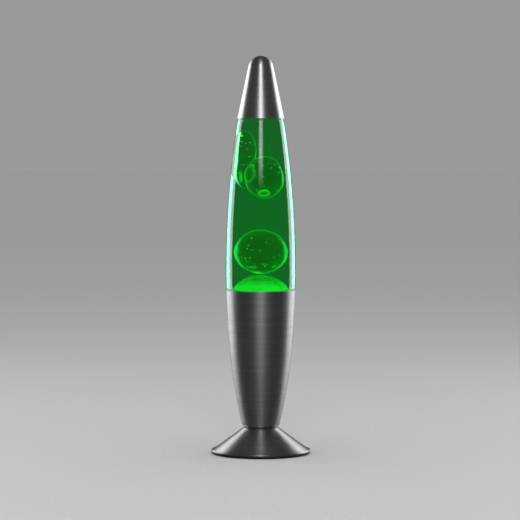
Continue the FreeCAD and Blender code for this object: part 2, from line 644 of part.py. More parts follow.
def crown_closure():
    """Pressed crown over the lip, its flared skirt fluted all round."""
    inner_top = lip_top() + FILM_GAP + LINER_THICKNESS + FILM_GAP
    top = inner_top + CROWN_TOP
    bottom = top - CROWN_HEIGHT
    crown = lathe_polygon([
        (0, inner_top), (CROWN_RADIUS - CROWN_FLARE - CROWN_SKIRT, inner_top),
        (CROWN_RADIUS - CROWN_SKIRT, bottom), (CROWN_RADIUS, bottom),
        (CROWN_RADIUS - CROWN_FLARE + CROWN_TOP, top - CROWN_TOP),
        (CROWN_RADIUS - CROWN_FLARE, top), (0, top)])
    flute_radius = math.pi * CROWN_RADIUS / CROWN_FLUTES / 2
    lean = math.atan2(CROWN_FLARE - CROWN_TOP, CROWN_HEIGHT)
    for k in range(CROWN_FLUTES):
        flute = Part.makeCylinder(flute_radius, CROWN_HEIGHT, V(0, 0, -CROWN_HEIGHT))
        flute.rotate(V(0, 0, 0), V(0, 1, 0), -math.degrees(lean))
        flute.translate(V(CROWN_RADIUS - CROWN_FLARE + flute_radius, 0, top - CROWN_TOP))
        flute.rotate(V(0, 0, 0), V(0, 0, 1), 360 * k / CROWN_FLUTES)
        crown = crown.cut(flute)
    return crown


def closure_liner():
    """Sealing disc between the lip and the crown."""
    base = lip_top() + FILM_GAP
    return disc(LIP_RADIUS - LIP_EDGE_RADIUS / 2, base, base + LINER_THICKNESS)


def heat_coil():
    """Flat coil of steel wire on the bottle's floor, which spreads the heat into the wax."""
    height = cavity_floor(GLASS_WALL) + COIL_WIRE_RADIUS + FILM_GAP
    step = COIL_PITCH / 2
    edges = []
    for half in range(2 * COIL_TURNS):
        side = -1 if half % 2 else 1
        centre = V(step if half % 2 else 0, 0, height)
        reach = V(side * (COIL_INNER_RADIUS + half * step), 0, 0)
        edges.append(arc(centre + reach, centre + V(0, reach.x, 0), centre - reach))
    section = Part.Wire(Part.makeCircle(
        COIL_WIRE_RADIUS, V(COIL_INNER_RADIUS, 0, height), V(0, 1, 0)))
    return Part.Wire(edges).makePipeShell([section], True, False)


def bottle_cavity(inset):
    """The space inside the bottle up to its neck, at an inset from the bottle's outside."""
    seat, seat_top, floor = seat_outline(inset, RIM_HEIGHT - GLASS_STEP_BLEND)
    belly, neck = belly_outline(inset, seat_top)
    low, high = flat(0, floor.z), flat(0, neck.z)
    return lathe(seat + belly + [line(floor, low), line(low, high), line(high, neck)])


def settled_region(lift):
    """Everything below the settled wax's surface: a dome with a skirt that levels out."""
    top = RIM_HEIGHT + POOL_RISE + lift
    dome_centre = flat(0, top - POOL_DOME_RADIUS)
    dome_end = math.radians(POOL_DOME_END)
    skirt_centre = on_circle(dome_centre, POOL_DOME_RADIUS + POOL_SKIRT_RADIUS, dome_end)
    level = skirt_centre.z - POOL_SKIRT_RADIUS
    low = cavity_floor(0)
    outer = skirt_centre.x + GLASS_MAX_RADIUS
    corners = [flat(skirt_centre.x, level), flat(outer, level), flat(outer, low), flat(0, low),
               flat(0, top)]
    return lathe([
        turn_arc(dome_centre, POOL_DOME_RADIUS, dome_end, math.pi / 2),
        turn_arc(skirt_centre, POOL_SKIRT_RADIUS, dome_end + math.pi, 1.5 * math.pi),
    ] + [line(a, b) for a, b in zip(corners, corners[1:])])


def wax_pool():
    """Wax that has settled on the heated floor, hollow underneath where the coil lies."""
    pool = bottle_cavity(GLASS_WALL + FILM_GAP).common(settled_region(0))
    room = COIL_PITCH + COIL_WIRE_RADIUS
    coil_outer = COIL_INNER_RADIUS + COIL_TURNS * COIL_PITCH
    ceiling = cavity_floor(GLASS_WALL) + 2 * (COIL_WIRE_RADIUS + FILM_GAP)
    return pool.cut(tube(COIL_INNER_RADIUS - room, coil_outer + room, cavity_floor(0), ceiling))


def blob_shape(name, growth):
    """A rounded blob of wax, half sizes grown all round by an amount."""
    centre, half = BLOBS[name]
    centre = centre + V(0, 0, RIM_HEIGHT)
    stretch = FreeCAD.Matrix()
    stretch.scale(half.x + growth, half.y + growth, half.z + growth)
    ball = Part.makeSphere(1.0).transformGeometry(stretch)
    ball.translate(centre)
    return ball


def bottle_liquid():
    """Coloured liquid over the settled wax, up to its level in the shoulder, round the blobs."""
    filled = bottle_cavity(GLASS_WALL + FILM_GAP).common(disc(2 * GLASS_MAX_RADIUS, 0, FILL_HEIGHT))
    liquid = filled.cut(settled_region(FILM_GAP))
    for name in BLOBS:
        liquid = liquid.cut(blob_shape(name, WAX_GAP))
    return liquid


# ---- loose cap ----------------------------------------------------------------------------------
def top_cap():
    """Spun bullet cap: a straight cone that runs into a round nose, open below."""
    rim = belly_point(0, SHOULDER_HEIGHT).x + CAP_OVERHANG
    nose = (rim * math.cos(CAP_SLOPE) - CAP_LENGTH * math.sin(CAP_SLOPE)) / (1 - math.sin(CAP_SLOPE))
    centre = flat(0, TOTAL_HEIGHT - nose)
    rim_out = flat(rim, CAP_RIM_HEIGHT)
    rim_in = flat(rim - SHEET / math.cos(CAP_SLOPE), CAP_RIM_HEIGHT)
    inner = nose - SHEET
    return lathe([
        line(rim_in, rim_out), line(rim_out, on_circle(centre, nose, CAP_SLOPE)),
        turn_arc(centre, nose, CAP_SLOPE, math.pi / 2),
        line(flat(0, centre.z + nose), flat(0, centre.z + inner)),
        turn_arc(centre, inner, CAP_SLOPE, math.pi / 2),
        line(on_circle(centre, inner, CAP_SLOPE), rim_in)])


# ---- every piece, one file each -------------------------------------------------------------------
PIECES = {
    "base_foot": base_foot(),
    "base_body": base_body(),
    "base_plate": base_plate(),
    "foot_pad": foot_pad(),
    "cord_grommet": cord_grommet(),
    "waist_spacer": waist_spacer(),
    "threaded_tube": threaded_tube(),
    "tube_nut_lower": hex_nut(LOWER_NUT_BASE),
    "tube_nut_upper": hex_nut(UPPER_NUT_BASE),
    "tube_washer_lower": washer(LOWER_NUT_BASE + NUT_THICKNESS),
    "tube_washer_upper": washer(UPPER_NUT_BASE - WASHER_THICKNESS),
    "holder_cup": holder_cup(),
    "holder_core": holder_core(),
    "holder_screw_shell": holder_screw_shell(),
    "holder_centre_contact": holder_centre_contact(),
    "holder_terminal_screws": holder_terminal_screws(),
    "bulb_envelope": bulb_envelope(),
    "bulb_cap": bulb_cap(),
    "bulb_insulator": bulb_insulator(),
    "bulb_tip": bulb_tip(),
    "bulb_stem": bulb_stem(),
    "bulb_supports": bulb_supports(),
    "bulb_filament": bulb_filament(),
    "glass_bottle": glass_bottle(),
    "crown_closure": crown_closure(),
    "closure_liner": closure_liner(),
    "heat_coil": heat_coil(),
    "wax_pool": wax_pool(),
    "bottle_liquid": bottle_liquid(),
    "top_cap": top_cap(),
}
for blob in BLOBS:
    PIECES[blob] = blob_shape(blob, 0)

os.makedirs("parts", exist_ok=True)
for name, shape in PIECES.items():
    shape.exportStep("parts/" + name + ".step")
    box = shape.BoundBox
    print("%-24s valid %s solids %d vol %10.1f  x %.2f..%.2f y %.2f..%.2f z %.2f..%.2f" % (
        name, shape.isValid(), len(shape.Solids), shape.Volume,
        box.XMin, box.XMax, box.YMin, box.YMax, box.ZMin, box.ZMax))
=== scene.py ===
import math
import random

import bmesh
import bpy
from mathutils import Matrix, Vector, noise


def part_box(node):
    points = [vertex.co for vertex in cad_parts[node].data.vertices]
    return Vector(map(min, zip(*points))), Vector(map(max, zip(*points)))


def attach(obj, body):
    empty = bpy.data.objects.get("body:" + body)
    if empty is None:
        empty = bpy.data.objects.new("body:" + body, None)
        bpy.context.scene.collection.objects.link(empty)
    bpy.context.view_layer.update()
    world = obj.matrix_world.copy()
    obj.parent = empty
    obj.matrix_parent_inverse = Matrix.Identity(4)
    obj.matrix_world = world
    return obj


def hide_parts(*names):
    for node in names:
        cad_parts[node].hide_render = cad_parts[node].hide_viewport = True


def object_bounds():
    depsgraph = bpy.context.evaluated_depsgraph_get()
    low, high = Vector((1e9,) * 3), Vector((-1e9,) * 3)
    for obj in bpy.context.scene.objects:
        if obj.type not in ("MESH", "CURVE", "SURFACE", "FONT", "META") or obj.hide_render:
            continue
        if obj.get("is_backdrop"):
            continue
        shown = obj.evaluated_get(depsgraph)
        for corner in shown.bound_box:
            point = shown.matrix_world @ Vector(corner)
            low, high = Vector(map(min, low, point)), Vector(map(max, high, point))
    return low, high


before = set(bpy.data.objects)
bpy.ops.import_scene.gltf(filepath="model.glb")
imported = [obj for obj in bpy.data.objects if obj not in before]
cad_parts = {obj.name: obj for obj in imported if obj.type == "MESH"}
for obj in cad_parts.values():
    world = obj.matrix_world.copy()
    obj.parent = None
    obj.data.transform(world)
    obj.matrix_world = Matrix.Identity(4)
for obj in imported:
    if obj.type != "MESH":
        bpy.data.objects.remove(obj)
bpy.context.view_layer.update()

# ---- foot -----------------------------------------------------------------------------------
# A flared foot spun from 0.8 mm aluminium sheet: a flat top that takes the clamp, a straight
# cone, and an edge rolled round a former. Its outside is lathe-brushed, so fine rings run round
# it and every highlight is drawn out down the slope.
FACETS = 192
SHEET = 0.8


class Paint:
    """A socket in a material: sums on it add Math nodes, and node() adds any other kind."""

    def __init__(self, tree, socket=None):
        self.tree = tree
        self.socket = socket

    def node(self, kind, settings, inputs, output=0):
        made = self.tree.nodes.new("ShaderNode" + kind)
        for key, value in settings.items():
            if key == "stops":
                stops = made.color_ramp.elements
                while len(stops) < len(value):
                    stops.new(1.0)
                for stop, (place, colour) in zip(stops, value):
                    stop.position = place
                    stop.color = (*colour, 1.0) if len(colour) == 3 else colour
            else:
                setattr(made, key, value)
        for key, value in inputs.items():
            if isinstance(value, Paint):
                self.tree.links.new(value.socket, made.inputs[key])
            else:
                made.inputs[key].default_value = value
        return Paint(self.tree, made.outputs[output])

    def maths(self, operation, *terms):
        return self.node("Math", {"operation": operation}, dict(enumerate(terms)))

    def __add__(self, other):
        return self.maths("ADD", self, other)

    def __sub__(self, other):
        return self.maths("SUBTRACT", self, other)

    def __rsub__(self, other):
        return self.maths("SUBTRACT", other, self)

    def __mul__(self, other):
        return self.maths("MULTIPLY", self, other)

    def __pow__(self, other):
        return self.maths("POWER", self, other)

    __radd__ = __add__
    __rmul__ = __mul__

    def stretched(self, scale):
        """This vector with each axis scaled by its own amount."""
        return self.node("Mapping", {}, {"Vector": self, "Scale": scale}, "Vector")

    def speckle(self, size, detail=2.0, roughness=0.5):
        """Smooth random patches of about that size in metres, from 0 to 1."""
        return self.node("TexNoise", {"noise_dimensions": "3D"},
                         {"Vector": self, "Scale": 1 / size, "Detail": detail,
                          "Roughness": roughness}, "Fac")

    def between(self, low, high, to_low=0.0, to_high=1.0):
        """This value taken from one span to another, smoothly and held at both ends."""
        return self.node("MapRange", {"interpolation_type": "SMOOTHSTEP", "clamp": True},
                         {"Value": self, "From Min": low, "From Max": high,
                          "To Min": to_low, "To Max": to_high}, "Result")

    def mixed(self, first, second):
        """The colour that lies this far from the first colour to the second."""
        return self.node("Mix", {"data_type": "RGBA"}, {"Factor": self, 6: first, 7: second}, 2)

    def bump(self, height_mm):
        """The normal of a surface that this value raises by up to a height."""
        return self.node("Bump", {}, {"Height": self, "Strength": 1.0,
                                      "Distance": height_mm * 0.001}, "Normal")


def new_finish(name):
    """A material, its shader and the place of each point in it as a Paint."""
    material = bpy.data.materials.new(name)
    material.use_nodes = True
    tree = material.node_tree
    place = Paint(tree).node("TexCoord", {}, {}, "Object")
    return material, tree.nodes["Principled BSDF"], place


def coat(shader, **values):
    """Sets the shader's sockets: a Paint is linked, and a plain value is set on the socket."""
    for key, value in values.items():
        socket = shader.inputs[key.replace("_", " ")]
        if isinstance(value, Paint):
            value.tree.links.new(value.socket, socket)
        else:
            socket.default_value = value


def brushed_aluminium(name, grey, rough):
    """Aluminium brushed on the lathe: rings of two widths and faint streaks along the axis."""
    material, shader, place = new_finish(name)
    fine = place.stretched((8, 8, 2600)).speckle(1.0, 3.0, 0.6)
    broad = place.stretched((14, 14, 620)).speckle(1.0, 2.0)
    streak = place.stretched((700, 700, 9)).speckle(1.0, 2.0)
    cloud = place.speckle(0.03, 2.0)
    tone = fine * 0.5 + broad * 0.25 + streak * 0.25
    dark = [grey * 0.86, grey * 0.865, grey * 0.88, 1.0]
    light = [grey * 1.14, grey * 1.14, grey * 1.14, 1.0]
    coat(shader, Base_Color=tone.between(0.36, 0.64).mixed(dark, light),
         Metallic=1.0,
         Roughness=rough + (tone - 0.5) * 0.14 + (cloud - 0.5) * 0.05,
         Anisotropic=0.7, Anisotropic_Rotation=0.25,
         Normal=(fine * 0.7 + broad * 0.3).bump(0.006))
    return material


def box_mm(node):
    """Lowest and highest corner of a CAD node in millimetres."""
    low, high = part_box(node)
    return low * 1000, high * 1000


def sweep(centre, radius, start, end, steps):
    """Points of an outline along an arc, its angles in degrees up from straight out."""
    angles = [math.radians(start + (end - start) * k / steps) for k in range(steps + 1)]
    return [(centre[0] + radius * math.cos(a), centre[1] + radius * math.sin(a)) for a in angles]


def soften(corners, steps=4):
    """An outline whose corners (r, z, rounding) become arcs, with a point just before and after."""
    points = []
    for k, (r, z, rounding) in enumerate(corners):
        here = Vector((r, z))
        if rounding == 0:
            points.append((r, z))
            continue
        before = (Vector(corners[k - 1][:2]) - here).normalized()
        after = (Vector(corners[(k + 1) % len(corners)][:2]) - here).normalized()
        half = before.angle(after) / 2
        reach = rounding / math.tan(half)
        centre = here + (before + after).normalized() * (rounding / math.sin(half))
        first, last = here + before * reach - centre, here + after * reach - centre
        turn = first.angle_signed(last)
        points.append(tuple(centre + first + before * rounding * 0.5))
        for step in range(steps + 1):
            points.append(tuple(centre + Matrix.Rotation(-turn * step / steps, 2) @ first))
        points.append(tuple(centre + last + after * rounding * 0.5))
    return points


def keep(name, mesh, body, slot, material, *stands_for):
    """Makes a finished bmesh an object that rides a body and stands for CAD nodes."""
    for face in mesh.faces:
        face.smooth = True
    data = bpy.data.meshes.new(name)
    mesh.to_mesh(data)
    mesh.free()
    data.set_sharp_from_angle(angle=math.radians(38))
    data.materials.append(material)
    made = bpy.data.objects.new(name, data)
    bpy.context.scene.collection.objects.link(made)
    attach(made, body)
    if stands_for:
        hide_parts(*stands_for)
    return made


def turned(outline, closed=True, facets=FACETS):
    """A bmesh lathe-turned about the lamp's axis from an outline in millimetres."""
    mesh = bmesh.new()
    corners = [mesh.verts.new((r * 0.001, 0, z * 0.001)) for r, z in outline]
    rails = [mesh.edges.new(pair) for pair in zip(corners, corners[1:])]
    if closed:
        rails.append(mesh.edges.new((corners[-1], corners[0])))
    bmesh.ops.spin(mesh, geom=corners + rails, cent=(0, 0, 0), axis=(0, 0, 1), dvec=(0, 0, 0),
                   angle=math.tau, steps=facets, use_merge=True, use_duplicate=False)
    bmesh.ops.remove_doubles(mesh, verts=mesh.verts, dist=1e-7)
    bmesh.ops.dissolve_degenerate(mesh, edges=mesh.edges, dist=1e-8)
    bmesh.ops.recalc_face_normals(mesh, faces=mesh.faces)
    return mesh


foot_low, foot_high = box_mm("base_foot")
SLOPE_DEGREES = 36.1
SLOPE = math.radians(SLOPE_DEGREES)
WAIST_RADIUS = 17.0
BEAD = 1.1
HOLE_RADIUS = 5.15
foot_top = foot_high.z
bead_centre = Vector((foot_high.y - BEAD, foot_low.z + BEAD))
down_slope = Vector((math.cos(SLOPE), -math.sin(SLOPE)))
off_slope = Vector((math.sin(SLOPE), math.cos(SLOPE)))
waist_corner = Vector((WAIST_RADIUS, foot_top))
bead_depth = (bead_centre - waist_corner).dot(off_slope)
meets_above = 180 - SLOPE_DEGREES - math.degrees(math.asin(-bead_depth / BEAD))
meets_below = -180 - SLOPE_DEGREES + math.degrees(math.asin((SHEET + bead_depth) / BEAD))
turn_in = waist_corner + down_slope * SHEET * math.tan(SLOPE / 2) - off_slope * SHEET
foot_outline = soften([(HOLE_RADIUS, foot_top, 0.15), (WAIST_RADIUS, foot_top, 0.9)] + [
    (r, z, 0.0) for r, z in sweep(bead_centre, BEAD, meets_above, meets_below, 28)
] + [(*turn_in, 0.5), (HOLE_RADIUS, foot_top - SHEET, 0.15)])
foot_metal = brushed_aluminium("foot_brushed", 0.56, 0.38)
keep("foot_shell", turned(foot_outline), "base", "foot_metal", foot_metal, "base_foot")

# ---- bottom cover and pad -------------------------------------------------------------------
# A black moulded disc that closes the foot, held by a rib pressed into the cone, and a ring of
# soft rubber glued under it that the lamp stands on. Together they show as a thin black band.


def moulded(name, colour, rough, grain, size):
    """Moulded plastic or rubber with a fine grain and slightly worn, duller patches."""
    material, shader, place = new_finish(name)
    fine = place.speckle(size, 3.0, 0.6)
    worn = place.speckle(0.018, 3.0)
    lighter = [min(1.0, c * 1.7 + 0.004) for c in colour]
    coat(shader, Base_Color=(worn * 0.6 + fine * 0.4).between(0.38, 0.68).mixed(
             [*colour, 1.0], [*lighter, 1.0]),
         Roughness=rough + (fine - 0.5) * 0.2 + (worn - 0.5) * 0.15,
         Specular_IOR_Level=0.45, Normal=fine.bump(grain))
    return material


plate_low, plate_high = box_mm("base_plate")
PLATE_THICKNESS = 1.3
RIB_WIDTH = 1.6
rib_outer = waist_corner.x + (foot_top - plate_high.z) / math.tan(SLOPE) - 0.9 / math.sin(SLOPE)
plate_top = plate_low.z + PLATE_THICKNESS
cover_outline = soften([
    (0, plate_low.z, 0), (plate_high.y, plate_low.z, 0.3), (plate_high.y, plate_top, 0.3),
    (rib_outer, plate_top, 0), (rib_outer, plate_high.z, 0.3),
    (rib_outer - RIB_WIDTH, plate_high.z, 0.3), (rib_outer - RIB_WIDTH, plate_top, 0),
    (0, plate_top, 0)])
black_plastic = moulded("black_cover_plastic", (0.014, 0.014, 0.015), 0.46, 0.03, 0.0006)
keep("bottom_cover", turned(cover_outline), "base", "black_plastic", black_plastic, "base_plate")

pad_low, pad_high = box_mm("foot_pad")
PAD_INNER = 38.0
pad_outline = soften([
    (PAD_INNER, pad_low.z, 0.25), (pad_high.y, pad_low.z, 0.25),
    (pad_high.y, pad_high.z, 0.1), (PAD_INNER, pad_high.z, 0.1)])
pad_rubber = moulded("pad_rubber", (0.02, 0.02, 0.02), 0.78, 0.05, 0.0009)
keep("rubber_pad", turned(pad_outline), "base", "black_rubber", pad_rubber, "foot_pad")

# ---- cord bush ------------------------------------------------------------------------------
# A soft black bush pressed into the hole at the back of the foot, where the cord goes in: a
# thin neck in the sheet with a rounded flange on each side.
bush_low, bush_high = box_mm("cord_grommet")
BUSH_FLANGE = 5.6
BUSH_BORE = 3.1
BUSH_NECK = 4.2
FLANGE = 1.2
NECK_LENGTH = 1.257
bush_half = FLANGE + NECK_LENGTH / 2
bush_outline = soften([
    (BUSH_BORE, -bush_half, 0.3), (BUSH_FLANGE, -bush_half, 0.45),
    (BUSH_FLANGE, -NECK_LENGTH / 2, 0.2), (BUSH_NECK, -NECK_LENGTH / 2, 0.1),
    (BUSH_NECK, NECK_LENGTH / 2, 0.1), (BUSH_FLANGE, NECK_LENGTH / 2, 0.2),
    (BUSH_FLANGE, bush_half, 0.7), (BUSH_BORE, bush_half, 0.4)])
bush = turned(bush_outline, facets=72)
bmesh.ops.rotate(bush, verts=bush.verts, cent=(0, 0, 0),
                 matrix=Matrix.Rotation(-SLOPE, 3, "X"))
bmesh.ops.translate(bush, verts=bush.verts, vec=(bush_low + bush_high) / 2 * 0.001)
bush_rubber = moulded("bush_rubber", (0.012, 0.012, 0.012), 0.62, 0.03, 0.0007)
keep("cord_bush", bush, "base", "grommet_rubber", bush_rubber, "cord_grommet")

# ---- waist ring, threaded tube, nuts and washers ----------------------------------------------
# A steel ring keeps foot and body a millimetre apart, and a hollow threaded tube with a nut and
# washer at each end clamps the three together. All but the ring's edge are hidden inside.


def plated(name, colour, rough):
    """Plated steel: slightly blotchy, with fine scratches from the barrel it was tumbled in."""
    material, shader, place = new_finish(name)
    blotch = place.speckle(0.004, 3.0)
    scratch = place.stretched((300, 3000, 900)).speckle(1.0, 2.0)
    coat(shader, Base_Color=blotch.between(0.35, 0.65).mixed(
             [*(c * 0.8 for c in colour), 1.0], [*colour, 1.0]),
         Metallic=1.0, Roughness=rough + (blotch - 0.5) * 0.2 + (scratch - 0.5) * 0.15,
         Normal=scratch.bump(0.004))
    return material


ring_low, ring_high = box_mm("waist_spacer")
ring_outline = soften([
    (HOLE_RADIUS, ring_low.z, 0.1), (ring_high.y, ring_low.z, 0.2),
    (ring_high.y, ring_high.z, 0.2), (HOLE_RADIUS, ring_high.z, 0.1)])
spacer_steel = plated("waist_ring_steel", (0.16, 0.16, 0.165), 0.38)
keep("waist_ring", turned(ring_outline), "base", "spacer_steel", spacer_steel, "waist_spacer")


def dress(node, material):
    """Gives a CAD node that keeps its own mesh a better material."""
    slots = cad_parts[node].data.materials
    slots.clear()
    slots.append(material)


zinc = plated("zinc_plate", (0.5, 0.5, 0.48), 0.32)
for node in ("threaded_tube", "tube_nut_lower", "tube_nut_upper", "tube_washer_lower",
             "tube_washer_upper"):
    dress(node, zinc)

# ---- tulip body -----------------------------------------------------------------------------
# A tall cup spun from the same sheet: a flat floor on the waist ring, a small corner, a wall in
# two long curves that hardly leans by the rim, and a plain cut edge that the bottle's shoulder
# stands on. The rim is bright from trimming, though here it takes the same brushed finish as the
# wall.
body_low, body_high = box_mm("base_body")
WALL_LEAN = math.radians(2.4)
UPPER_CURVE = 2037.0
LOWER_CURVE = 577.0
JOIN_DROP = 40.6
CORNER = 3.0
rim = body_high.z
upper_centre = Vector((body_high.y - UPPER_CURVE * math.cos(WALL_LEAN),
                       rim + UPPER_CURVE * math.sin(WALL_LEAN)))
join_angle = math.asin((upper_centre.y - rim + JOIN_DROP) / UPPER_CURVE)
lower_centre = upper_centre + (UPPER_CURVE - LOWER_CURVE) * Vector(
    (math.cos(join_angle), -math.sin(join_angle)))


def wall_radius(z, inset):
    """Radius of the body's wall at a height, at an inset from its outside."""
    low = z < rim - JOIN_DROP
    centre, curve = (lower_centre, LOWER_CURVE) if low else (upper_centre, UPPER_CURVE)
    return centre.x + math.sqrt((curve - inset) ** 2 - (centre.y - z) ** 2)


def wall_line(inset, top, bottom, steps):
    """Points down the wall between two heights."""
    heights = [top + (bottom - top) * k / steps for k in range(steps + 1)]
    return [(wall_radius(z, inset), z, 0.0) for z in heights]


body_outline = soften(
    [(HOLE_RADIUS, body_low.z, 0.15)]
    + [(wall_radius(body_low.z, 0) - 0.2, body_low.z, CORNER)]
    + wall_line(0, body_low.z + 3.6, rim - 0.5, 60)
    + [(wall_radius(rim, 0), rim, 0.25), (wall_radius(rim, SHEET), rim, 0.25)]
    + wall_line(SHEET, rim - 0.5, body_low.z + 3.6, 60)
    + [(wall_radius(body_low.z + SHEET, SHEET) - 0.2, body_low.z + SHEET, CORNER - SHEET),
       (HOLE_RADIUS, body_low.z + SHEET, 0.15)], steps=8)
body_metal = brushed_aluminium("body_brushed", 0.62, 0.48)
keep("tulip_body", turned(body_outline), "base", "body_metal", body_metal, "base_body")

# ---- lampholder -----------------------------------------------------------------------------
# A black moulded cup on the threaded tube, a pale ceramic core on its ledge, and in the core a
# thin brass screw shell, a sprung centre leaf and two terminal screws.
holder_plastic = moulded("holder_plastic", (0.016, 0.016, 0.017), 0.4, 0.02, 0.0005)
ceramic = moulded("holder_ceramic", (0.62, 0.6, 0.54), 0.35, 0.015, 0.0008)
brass = plated("contact_brass", (0.72, 0.5, 0.2), 0.3)
dress("holder_cup", holder_plastic)
dress("holder_core", ceramic)
for node in ("holder_screw_shell", "holder_centre_contact", "holder_terminal_screws"):
    dress(node, brass)

# ---- bulb -----------------------------------------------------------------------------------
# A small reflector bulb that screws into the holder: blown glass silvered inside up to its
# widest place and frosted over its face, cemented into a nickel cap with a black glass cone and
# a solder tip. A glass stem and two wires hold the filament.
cap_high = box_mm("bulb_cap")[1]
glass_low, glass_high = box_mm("bulb_envelope")
BULB_WALL = 0.7
EDGE_RADIUS = 5.0
FACE_DROP = 13.0
widest = glass_high.z - FACE_DROP
bulb_neck = cap_high.y - 0.4
bend = 2 * math.atan((glass_high.y - bulb_neck) / (widest - cap_high.z))
flare = (widest - cap_high.z) / 2 / math.sin(bend)
edge_r = glass_high.y - EDGE_RADIUS
meet = math.pi / 2 - 2 * math.atan((FACE_DROP - EDGE_RADIUS) / edge_r)
face_radius = edge_r / math.cos(meet) + EDGE_RADIUS


def bulb_side(inset):
    """Half outline of the bulb's glass from its neck to the axis, at an inset."""
    return ([(bulb_neck - inset, glass_low.z), (bulb_neck - inset, glass_low.z + 3)]
            + sweep((bulb_neck + flare, cap_high.z), flare + inset, 180,
                    180 - math.degrees(bend), 14)
            + sweep((glass_high.y - flare, widest), flare - inset, -math.degrees(bend), 0, 14)[1:]
            + sweep((edge_r, widest), EDGE_RADIUS - inset, 0, math.degrees(meet), 10)[1:]
            + sweep((0, glass_high.z - face_radius), face_radius - inset, math.degrees(meet),
                    90, 14)[1:])


bulb_glass, shader, place = new_finish("bulb_glass")
height = place.node("SeparateXYZ", {}, {"Vector": place}, "Z")
silvered = height.between((widest - 2.0) * 0.001, (widest - 0.5) * 0.001, 1.0, 0.0)
frost = place.speckle(0.0006, 3.0)
coat(shader, Base_Color=silvered.mixed([0.93, 0.93, 0.91, 1], [0.8, 0.8, 0.8, 1]),
     Metallic=silvered, Roughness=(1 - silvered) * 0.3 + 0.16 + (frost - 0.5) * 0.12,
     Transmission_Weight=0.7, IOR=1.47, Normal=frost.bump(0.01))
keep("bulb_glass", turned(bulb_side(0) + bulb_side(BULB_WALL)[::-1], facets=128),
     "bulb_glassware", "bulb_glass", bulb_glass, "bulb_envelope")
nickel = plated("bulb_cap_nickel", (0.62, 0.6, 0.55), 0.24)
dress("bulb_cap", nickel)
black_glass = moulded("bulb_black_glass", (0.006, 0.006, 0.008), 0.12, 0.01, 0.001)
dress("bulb_insulator", black_glass)
dress("bulb_tip", plated("solder", (0.5, 0.5, 0.52), 0.36))
dress("bulb_stem", moulded("stem_glass", (0.6, 0.63, 0.6), 0.1, 0.01, 0.001))
dress("bulb_supports", plated("support_wire", (0.4, 0.38, 0.36), 0.4))
filament, shader, place = new_finish("filament_tungsten")
coil_turns = place.node("TexWave", {"wave_type": "RINGS", "rings_direction": "Y"},
                        {"Vector": place, "Scale": 900.0, "Distortion": 0.5}, "Fac")
coat(shader, Base_Color=coil_turns.mixed([0.05, 0.04, 0.035, 1], [0.3, 0.27, 0.25, 1]),
     Metallic=1.0, Roughness=coil_turns * 0.2 + 0.4,
     Emission_Color=[1.0, 0.72, 0.42, 1], Emission_Strength=6.0)
dress("bulb_filament", filament)

# ---- bottle ---------------------------------------------------------------------------------
# Blown clear soda glass, 2.5 mm thick: a seat that nests in the body, a rounded shoulder on the
# body's rim, a long belly that narrows upward, and a short neck with a rolled lip. Slightly
# wavy, as blown glass is.
bottle_low, bottle_high = box_mm("glass_bottle")
GLASS_WALL = 2.5
GLASS_FLOOR = 4.0
BELLY_CURVE = 940.0
BELLY_HEIGHT = 187.0
SHOULDER_Z = 332.0
SHOULDER = 20.0
NECK = 12.5
NECK_FILLET = 5.0
LIP = 13.2
LIP_LENGTH = 5.5
SEAT_CORNER = 7.0
SEAT_INSET = SHEET + 0.3
STEP = 1.0
step_z = rim + 0.3
belly_centre = Vector((bottle_high.y - BELLY_CURVE, BELLY_HEIGHT))
shoulder_turn = math.degrees(math.asin((SHOULDER_Z - BELLY_HEIGHT) / BELLY_CURVE))
shoulder_centre = belly_centre + (BELLY_CURVE - SHOULDER) * Vector(
    (math.cos(math.radians(shoulder_turn)), math.sin(math.radians(shoulder_turn))))
neck_turn = math.degrees(math.acos(
    (NECK + NECK_FILLET - shoulder_centre.x) / (SHOULDER + NECK_FILLET)))
fillet_centre = shoulder_centre + (SHOULDER + NECK_FILLET) * Vector(
    (math.cos(math.radians(neck_turn)), math.sin(math.radians(neck_turn))))


def belly_line(inset, bottom, steps=44):
    """Outline of the bottle from a height up over belly and shoulder to its neck."""
    start = math.degrees(math.asin((bottom - BELLY_HEIGHT) / (BELLY_CURVE - inset)))
    return (sweep(belly_centre, BELLY_CURVE - inset, start, shoulder_turn, steps)
            + sweep(shoulder_centre, SHOULDER - inset, shoulder_turn, neck_turn, 14)[1:]
            + sweep(fillet_centre, NECK_FILLET + inset, neck_turn + 180, 180, 8)[1:])


def seat_line(inset, bottom, corner, top, steps=18):
    """Outline of the bottle's seat from its axis out round a corner and up the wall."""
    floor_r = wall_radius(bottom + corner, inset) - corner
    lean = math.degrees(math.asin((upper_centre.y - bottom - corner) / (UPPER_CURVE - inset)))
    heights = [bottom + corner + (top - bottom - corner) * k / steps for k in range(1, steps + 1)]
    return ([(0, bottom), (floor_r * 0.5, bottom)]
            + sweep((floor_r, bottom + corner), corner, -90, -lean, 10)
            + [(wall_radius(z, inset), z) for z in heights])


lip_z = bottle_high.z - LIP_LENGTH
step_r = belly_line(0, step_z + STEP)[0][0]
outside = (seat_line(SEAT_INSET, bottle_low.z, SEAT_CORNER, step_z)
           + sweep((step_r - STEP, step_z + STEP), STEP, -90, 0, 6)
           + belly_line(0, step_z + STEP)[1:]
           + [(NECK, lip_z - 0.2)]
           + sweep((LIP - 1, lip_z + 1), 1.0, -90, 0, 5)
           + sweep((LIP - 1, bottle_high.z - 1), 1.0, 0, 90, 5))
inner_floor = bottle_low.z + GLASS_FLOOR
inside = (seat_line(SEAT_INSET + GLASS_WALL, inner_floor, SEAT_CORNER - GLASS_WALL, rim - 2.5)
          + belly_line(GLASS_WALL, rim + 2.5)
          + [(NECK - GLASS_WALL, bottle_high.z - 0.6)]
          + sweep((NECK - GLASS_WALL + 0.6, bottle_high.z - 0.6), 0.6, 180, 90, 3))
clear_glass, shader, place = new_finish("blown_glass")
